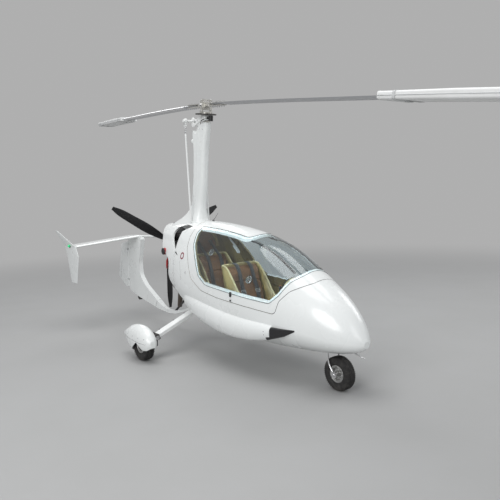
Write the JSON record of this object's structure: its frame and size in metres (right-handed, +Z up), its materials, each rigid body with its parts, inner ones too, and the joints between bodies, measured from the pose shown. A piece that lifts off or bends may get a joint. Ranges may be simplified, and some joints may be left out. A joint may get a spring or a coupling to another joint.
{
  "type": "gyrocopter",
  "caption": "Enclosed tandem two-seat gyrocopter on three wheels, with a teetering rotor on a faired mast, a pusher propeller, a tilting canopy and a swept boom with a T-tail.",
  "frame": {"origin": "on the ground straight below the rotor hub, midway between the sides", "axes": "+X to the nose, +Y to port, +Z up"},
  "size_m": [8.2988, 1.986, 3.047],
  "materials": {
    "white_paint": "gloss white lacquer on fibre composite",
    "inner_shell": "woven fibre laminate, yellowish",
    "black_rubber": "rubber",
    "black_steel": "black coated steel",
    "steel": "stainless steel",
    "engine_metal": "cast aluminium, dark",
    "alloy": "machined aluminium",
    "seat_leather": "brown leather",
    "dark_trim": "matt black",
    "dark_gloss": "gloss black",
    "canopy_glass": "clear acrylic, slightly tinted",
    "blade_alloy": "extruded aluminium, satin",
    "sleeve_white": "white padded cover",
    "black_composite": "black carbon composite",
    "tyre_rubber": "tyre rubber"
  },
  "bodies": {
    "airframe": {"fuselage_shell": "white_paint", "engine_cowl": "white_paint", "cabin_bulkhead": "inner_shell", "mast": "white_paint", "tail_boom": "white_paint", "stabiliser": "white_paint", "end_plate_left": "white_paint", "end_plate_right": "white_paint", "tail_bumper": "black_rubber", "rudder_hinges": "black_steel", "boom_strut": "black_steel", "spin_up_drive": "black_steel", "main_gear_bow": "white_paint", "axle_left": "black_steel", "axle_right": "black_steel", "spat_left": "white_paint", "spat_right": "white_paint", "nose_bearing": "steel", "engine": "engine_metal", "exhaust_silencer": "steel", "rotor_bearing": "alloy", "rotor_gimbal": "alloy", "control_rods": "alloy", "seat_shell_front": "inner_shell", "seat_shell_rear": "inner_shell", "seat_cushion_front": "seat_leather", "seat_cushion_rear": "seat_leather", "seat_back_front": "seat_leather", "seat_back_rear": "seat_leather", "instrument_panel": "dark_trim", "control_sticks": "dark_trim", "canopy_hinges": "black_steel", "pod_cap_left": "dark_gloss", "pod_cap_right": "dark_gloss"},
    "canopy": {"canopy_frame": "white_paint", "canopy_glass": "canopy_glass", "canopy_knuckles": "black_steel"},
    "rotor_mast": {"rotor_tower": "alloy", "spin_up_gear": "steel"},
    "rotor": {"hub_bar": "alloy", "rotor_blade_fore": "blade_alloy", "rotor_blade_aft": "blade_alloy", "blade_sleeve_fore": "sleeve_white", "blade_sleeve_aft": "sleeve_white"},
    "propeller": {"prop_hub": "alloy", "prop_blades": "black_composite"},
    "rudder": {"rudder": "white_paint"},
    "nose_leg": {"nose_fork": "steel"},
    "nose_wheel": {"nose_tyre": "tyre_rubber", "nose_rim": "alloy"},
    "main_wheel_left": {"main_tyre_left": "tyre_rubber", "main_rim_left": "alloy"},
    "main_wheel_right": {"main_tyre_right": "tyre_rubber", "main_rim_right": "alloy"}
  },
  "joints": [
    {"name": "canopy_hinge", "type": "hinge", "parent": "airframe", "child": "canopy", "pos_m": [0.76, 0.434, 0.702], "axis": [-1, 0, 0], "range_deg": [0, 80]},
    {"name": "rotor_spin", "type": "hinge", "parent": "airframe", "child": "rotor_mast", "pos_m": [-0.02, 0, 2.7], "axis": [0.1106, 0, 0.9939], "continuous": true},
    {"name": "rotor_teeter", "type": "hinge", "parent": "rotor_mast", "child": "rotor", "pos_m": [-0.02, 0, 2.7], "axis": [0.1332, 0.991, -0.0148], "range_deg": [-8, 8]},
    {"name": "propeller_spin", "type": "hinge", "parent": "airframe", "child": "propeller", "pos_m": [-1.009, 0, 1.168], "axis": [1, 0, 0], "continuous": true},
    {"name": "rudder_hinge", "type": "hinge", "parent": "airframe", "child": "rudder", "pos_m": [-2.236, 0, 0.467], "axis": [0.0805, 0, 0.9968], "range_deg": [-28, 28]},
    {"name": "nose_steering", "type": "hinge", "parent": "airframe", "child": "nose_leg", "pos_m": [1.828, 0, 0.34], "axis": [-0.2588, 0, 0.9659], "range_deg": [-25, 25]},
    {"name": "nose_wheel_spin", "type": "hinge", "parent": "nose_leg", "child": "nose_wheel", "pos_m": [1.896, 0, 0.15], "axis": [0, 1, 0], "continuous": true},
    {"name": "main_wheel_left_spin", "type": "hinge", "parent": "airframe", "child": "main_wheel_left", "pos_m": [-0.133, 0.846, 0.168], "axis": [0, 1, 0], "continuous": true},
    {"name": "main_wheel_right_spin", "type": "hinge", "parent": "airframe", "child": "main_wheel_right", "pos_m": [-0.133, -0.846, 0.168], "axis": [0, 1, 0], "continuous": true}
  ],
  "couplings": [
    {"joint": "nose_steering", "follows": "rudder_hinge", "ratio": -0.85}
  ]
}
